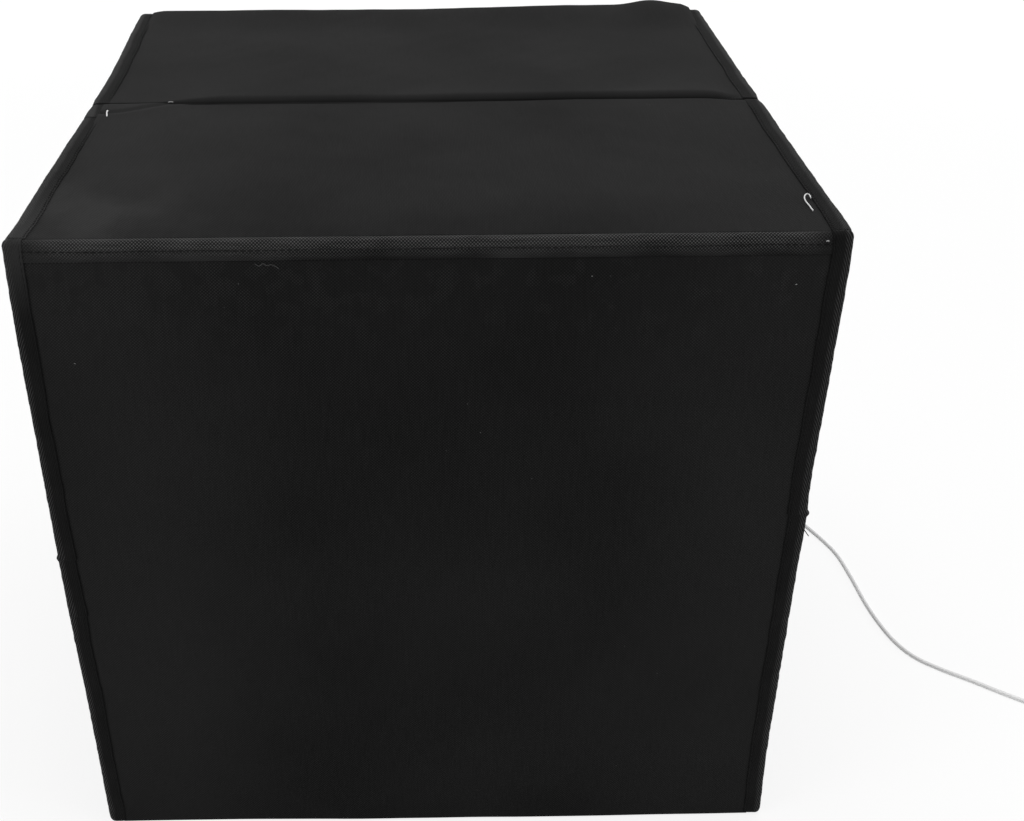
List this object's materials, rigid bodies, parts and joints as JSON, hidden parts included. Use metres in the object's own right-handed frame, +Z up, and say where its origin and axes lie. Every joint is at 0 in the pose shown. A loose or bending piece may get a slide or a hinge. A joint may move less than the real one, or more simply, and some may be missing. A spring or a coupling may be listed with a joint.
{
  "type": "light tent cube",
  "caption": "Black fabric-covered cube of stiff panels with an open front, a lift-up top half, light bars and a dimmer lead; it folds flat.",
  "frame": {"origin": "centre of the footprint, on the floor that the cube stands on", "axes": "+Z up, -Y out of the back panel, +Y out of the open front, +X to the right as seen from behind the cube"},
  "size_m": [0.6807, 0.4, 0.39],
  "materials": {
    "outer_fabric": "matt black coated oxford weave",
    "binding_tape": "matt black ribbed polyester tape",
    "stiffener": "matt",
    "silver_lining": "satin silver coating",
    "black_plastic": "fine moulded texture",
    "aluminium": "satin anodised",
    "lens": "frosted milky white",
    "circuit": "white solder mask",
    "pale_lead": "satin pale grey jacket",
    "plug_metal": "nickel plated",
    "grip_tape": "hook-and-loop pile"
  },
  "bodies": {
    "base": {"base_skin": "outer_fabric", "base_board": "stiffener", "base_lining": "silver_lining", "base_binding_left": "binding_tape", "base_binding_right": "binding_tape", "dimmer_floor": "black_plastic", "dimmer_cover": "black_plastic", "dimmer_circuit": "circuit", "lead_strain_relief": "pale_lead", "lead_floor_run": "pale_lead", "lead_coil": "pale_lead", "coil_tie": "grip_tape", "plug_body": "pale_lead", "plug_shell": "plug_metal", "plug_tongue": "black_plastic"},
    "left_lower": {"left_lower_skin": "outer_fabric", "left_lower_board": "stiffener", "left_lower_lining": "silver_lining", "left_crease_bead": "outer_fabric", "left_loop_strip": "grip_tape"},
    "left_upper": {"left_upper_skin": "outer_fabric", "left_upper_board": "stiffener", "left_upper_lining": "silver_lining"},
    "top_rear": {"top_rear_skin": "outer_fabric", "top_rear_board": "stiffener", "top_rear_lining": "silver_lining", "top_rear_binding_left": "binding_tape", "top_rear_binding_right": "binding_tape", "top_rail_left": "outer_fabric", "top_rail_right": "outer_fabric", "top_seam_bead": "outer_fabric", "rear_light_housing": "aluminium", "rear_light_strip": "circuit", "rear_light_lens": "lens"},
    "right_upper": {"right_upper_skin": "outer_fabric", "right_upper_board": "stiffener", "right_upper_lining": "silver_lining"},
    "right_lower": {"right_lower_skin": "outer_fabric", "right_lower_board": "stiffener", "right_lower_lining": "silver_lining", "right_crease_bead": "outer_fabric", "right_loop_strip": "grip_tape"},
    "top_front": {"top_front_skin": "outer_fabric", "top_front_board": "stiffener", "top_front_lining": "silver_lining", "top_front_binding_left": "binding_tape", "top_front_binding_right": "binding_tape", "front_light_housing": "aluminium", "front_light_strip": "circuit", "front_light_lens": "lens"},
    "back": {"back_skin": "outer_fabric", "back_board": "stiffener", "back_lining": "silver_lining", "back_binding_left": "binding_tape", "back_binding_right": "binding_tape", "left_hook_strip": "grip_tape", "right_hook_strip": "grip_tape", "spine_band": "outer_fabric"},
    "dimmer_wheel": {"dimmer_wheel": "black_plastic"}
  },
  "joints": [
    {"name": "fold_flat", "type": "hinge", "parent": "base", "child": "left_lower", "pos_m": [-0.1945, 0, 0.0055], "axis": [0, 1, 0], "range_deg": [0, 90]},
    {"name": "left_crease", "type": "hinge", "parent": "left_lower", "child": "left_upper", "pos_m": [-0.2, 0, 0.18985], "axis": [0, -1, 0], "range_deg": [0, 180]},
    {"name": "left_head", "type": "hinge", "parent": "left_upper", "child": "top_rear", "pos_m": [-0.1945, 0, 0.3742], "axis": [0, 1, 0], "range_deg": [0, 90]},
    {"name": "right_head", "type": "hinge", "parent": "top_rear", "child": "right_upper", "pos_m": [0.1945, 0, 0.3742], "axis": [0, 1, 0], "range_deg": [0, 90]},
    {"name": "right_crease", "type": "hinge", "parent": "right_upper", "child": "right_lower", "pos_m": [0.2, 0, 0.18985], "axis": [0, -1, 0], "range_deg": [0, 180]},
    {"name": "back_swing", "type": "hinge", "parent": "top_rear", "child": "back", "pos_m": [0, -0.1975, 0.3875], "axis": [-1, 0, 0], "range_deg": [0, 90]},
    {"name": "hatch", "type": "hinge", "parent": "top_rear", "child": "top_front", "pos_m": [0, 0, 0.39], "axis": [1, 0, 0], "range_deg": [0, 175]},
    {"name": "dimmer_turn", "type": "hinge", "parent": "base", "child": "dimmer_wheel", "pos_m": [0.181, 0.1906, 0.0075], "axis": [0, 0, 1], "range_deg": [0, 270]}
  ],
  "couplings": [
    {"joint": "left_crease", "follows": "fold_flat", "ratio": 2},
    {"joint": "left_head", "follows": "fold_flat", "ratio": 1},
    {"joint": "right_head", "follows": "fold_flat", "ratio": 1},
    {"joint": "right_crease", "follows": "fold_flat", "ratio": 2},
    {"joint": "back_swing", "follows": "fold_flat", "ratio": 1}
  ]
}
